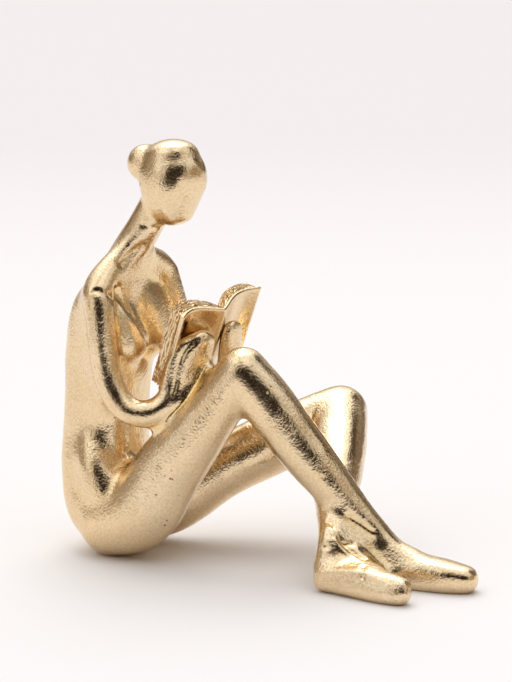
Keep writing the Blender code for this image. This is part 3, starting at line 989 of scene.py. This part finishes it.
def gold_plating(name, grain, coarse, relief, dull, painted_hollow_share, painted_hollow_tone):
    """Pale champagne gold: warm metal whose tone drifts in clouds, darker and rougher in its pits.

    coarse and relief set the grain's dimples and height, dull the mean roughness. Hollows turn to the
    tone given last by the share given before it: painted bounce light in the figure's hollows, painted
    shade in the grooves between the leaves.
    """
    material = bpy.data.materials.new(name)
    material.use_nodes = True
    tree = material.node_tree
    shader = tree.nodes["Principled BSDF"]
    place = add(tree, "ShaderNodeTexCoord").outputs["Object"]
    skin = add(tree, "ShaderNodeGroup")
    skin.node_tree = grain
    tree.links.new(place, skin.inputs["Place"])
    skin.inputs["Coarse"].default_value = coarse
    drift = ranged(tree, skin.outputs["Cloud"], 0.35, 0.65)
    tone = blend(tree, drift, WARM_GOLD, PALE_GOLD)
    # Painted shade: the grain's low spots darken towards brown.
    tone = blend(tree, maths(tree, "MULTIPLY", skin.outputs["Grain Shade"], 0.22), tone, GRAIN_SHADE_BROWN)
    hollow = add(tree, "ShaderNodeAttribute", attribute_name="hollow").outputs["Fac"]
    # Painted light in the hollows: bounce light on the figure, shade between the leaves.
    tone = blend(tree, maths(tree, "MULTIPLY", hollow, painted_hollow_share), tone, painted_hollow_tone)
    tone = blend(tree, skin.outputs["Pits"], tone, PIT_BROWN)
    tree.links.new(tone, shader.inputs["Base Color"])
    shader.inputs["Metallic"].default_value = 1.0
    rough = ranged(tree, skin.outputs["Cloud"], 0.3, 0.7, dull - 0.04, dull + 0.06)
    rough = maths(tree, "ADD", rough, maths(tree, "MULTIPLY", skin.outputs["Pits"], 0.3))
    tree.links.new(rough, shader.inputs["Roughness"])
    bump = add(tree, "ShaderNodeBump")
    bump.inputs["Distance"].default_value = relief
    bump.inputs["Strength"].default_value = 1.0
    tree.links.new(skin.outputs["Height"], bump.inputs["Height"])
    tree.links.new(bump.outputs["Normal"], shader.inputs["Normal"])
    return material


# The studio.


def toward(azimuth, elevation):
    """Unit vector to that part of the room: azimuth from -Y towards +X, elevation above the floor."""
    a, e = math.radians(azimuth), math.radians(elevation)
    return (math.sin(a) * math.cos(e), -math.cos(a) * math.cos(e), math.sin(e))


def dotted(tree, vector, axis):
    """The dot product of a vector socket with a plain unit vector."""
    node = add(tree, "ShaderNodeVectorMath", operation="DOT_PRODUCT")
    tree.links.new(vector, node.inputs[0])
    node.inputs[1].default_value = axis
    return node.outputs["Value"]


def make_floor():
    """A wide pale sheet: rings of radius r = 40 * s^2 around the middle, flat.

    It darkens with distance, a painted falloff of the light. Only the metal's mirror image of it turns
    dark in front, beyond the table's end: a painted reflection of the dark room behind the camera.
    """
    steps = np.linspace(0.0, 1.0, 24)[1:]
    turn = np.linspace(0.0, 2 * math.pi, 96, endpoint=False)
    radius, angle = np.meshgrid(40.0 * steps**2, turn, indexing="ij")
    points = np.stack([radius * np.cos(angle), radius * np.sin(angle), 0 * radius], axis=-1)
    points = np.concatenate([[[0.0, 0.0, 0.0]], points.reshape(-1, 3)])
    ring, side = np.meshgrid(np.arange(len(steps) - 1), np.arange(96), indexing="ij")
    after = (side + 1) % 96
    quads = np.stack(
        [
            ring * 96 + side,
            (ring + 1) * 96 + side,
            (ring + 1) * 96 + after,
            ring * 96 + after,
        ],
        axis=-1,
    ).reshape(-1, 4)
    middle = [[0, 1 + i, 1 + (i + 1) % 96] for i in range(96)]
    obj = shell("pale_floor", [(points - [0.0, 0.0, 0.00005], middle + (quads + 1).tolist())])
    material = bpy.data.materials.new("pale_floor")
    material.use_nodes = True
    tree = material.node_tree
    shader = tree.nodes["Principled BSDF"]
    place = add(tree, "ShaderNodeTexCoord").outputs["Object"]
    away = add(tree, "ShaderNodeVectorMath", operation="LENGTH")
    tree.links.new(place, away.inputs[0])
    # Painted falloff: the floor's colour darkens far off, as the light fades.
    far = ranged(tree, away.outputs["Value"], *FLOOR_FADE, smooth=True)
    tone = blend(tree, far, FLOOR_NEAR, FLOOR_FAR)
    # Where the floor takes its painted dark reflection: ahead of the figure and not far to the sides.
    reach = dotted(tree, place, toward(DARK_ROOM_AZIMUTH, 0.0))
    side = dotted(tree, place, toward(DARK_ROOM_AZIMUTH + 90.0, 0.0))
    side = maths(tree, "ABSOLUTE", maths(tree, "ADD", side, DARK_ROOM_ASIDE), 0.0)
    side = maths(tree, "DIVIDE", side, maths(tree, "MAXIMUM", reach, 0.01))
    side = ranged(tree, side, *DARK_ROOM_SPREAD, smooth=True)
    reach = ranged(tree, reach, *DARK_ROOM_REACH, smooth=True)
    path = add(tree, "ShaderNodeLightPath")
    shade = maths(tree, "MULTIPLY", maths(tree, "MULTIPLY", reach, side), path.outputs["Is Glossy Ray"])
    # The floor turns dark for glossy rays there: a painted reflection of the dark room.
    tone = blend(tree, shade, tone, MIRRORED_DARK_ROOM)
    tree.links.new(tone, shader.inputs["Base Color"])
    shader.inputs["Roughness"].default_value = 0.9
    shader.inputs["Specular IOR Level"].default_value = 0.1
    obj.data.materials.append(material)


def light_room():
    """The room as the metal mirrors it: a pale ceiling, dimmer walls, soft boxes and a dark side."""
    world = bpy.data.worlds.new("soft_room")
    bpy.context.scene.world = world
    world.use_nodes = True
    tree = world.node_tree
    tree.nodes.clear()
    place = add(tree, "ShaderNodeTexCoord").outputs["Generated"]
    split = add(tree, "ShaderNodeSeparateXYZ")
    tree.links.new(place, split.inputs["Vector"])
    rise = ranged(tree, split.outputs["Z"], 0.10, 0.85, smooth=True)
    room = blend(tree, rise, WALL_LOW, WALL_HIGH)
    for azimuth, elevation, core, rim, colour in ROOM:
        facing = dotted(tree, place, toward(azimuth, elevation))
        inside, outside = math.cos(math.radians(core)), math.cos(math.radians(rim))
        share = ranged(tree, facing, outside, inside, smooth=True)
        room = blend(tree, share, room, colour)
    mirrored = add(tree, "ShaderNodeBackground")
    tree.links.new(room, mirrored.inputs["Color"])
    mirrored.inputs["Strength"].default_value = 1.0
    plain = add(tree, "ShaderNodeBackground")
    plain.inputs["Color"].default_value = (0.90, 0.86, 0.86, 1.0)
    path = add(tree, "ShaderNodeLightPath")
    choice = add(tree, "ShaderNodeMixShader")
    tree.links.new(path.outputs["Is Camera Ray"], choice.inputs["Fac"])
    tree.links.new(mirrored.outputs["Background"], choice.inputs[1])
    tree.links.new(plain.outputs["Background"], choice.inputs[2])
    made = add(tree, "ShaderNodeOutputWorld")
    tree.links.new(choice.outputs["Shader"], made.inputs["Surface"])

    data = bpy.data.lights.new("overhead_box", "SUN")
    data.energy = 0.8
    data.angle = math.radians(40.0)
    data.color = (1.0, 0.985, 0.97)
    lamp = bpy.data.objects.new("overhead_box", data)
    bpy.context.scene.collection.objects.link(lamp)
    lamp.rotation_mode = "QUATERNION"
    lamp.rotation_quaternion = (-Vector(toward(-140.0, 66.0))).to_track_quat("-Z", "Y")


def main():
    lay_camera()
    grain = plating_grain()
    finish = {
        # The last two values paint light into the hollows: bounce light on the figure, shade in the
        # page grooves.
        make_figure: gold_plating("plated_skin", grain, 0.4, 0.000150, 0.15, 0.6, BOUNCE_LIGHT_GOLD),
        make_cover: gold_plating("plated_cover", grain, 0.4, 0.000060, 0.16, 0.0, BOUNCE_LIGHT_GOLD),
        make_pages: gold_plating("plated_pages", grain, 0.9, 0.000090, 0.20, 1.0, GROOVE_SHADE_BROWN),
    }
    for make, material in finish.items():
        obj = make()
        obj.data.shade_smooth()
        obj.data.materials.append(material)
        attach(obj, "root")
        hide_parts("reading_figure")
    make_floor()
    light_room()
    bpy.context.scene.view_settings.view_transform = "Standard"


main()
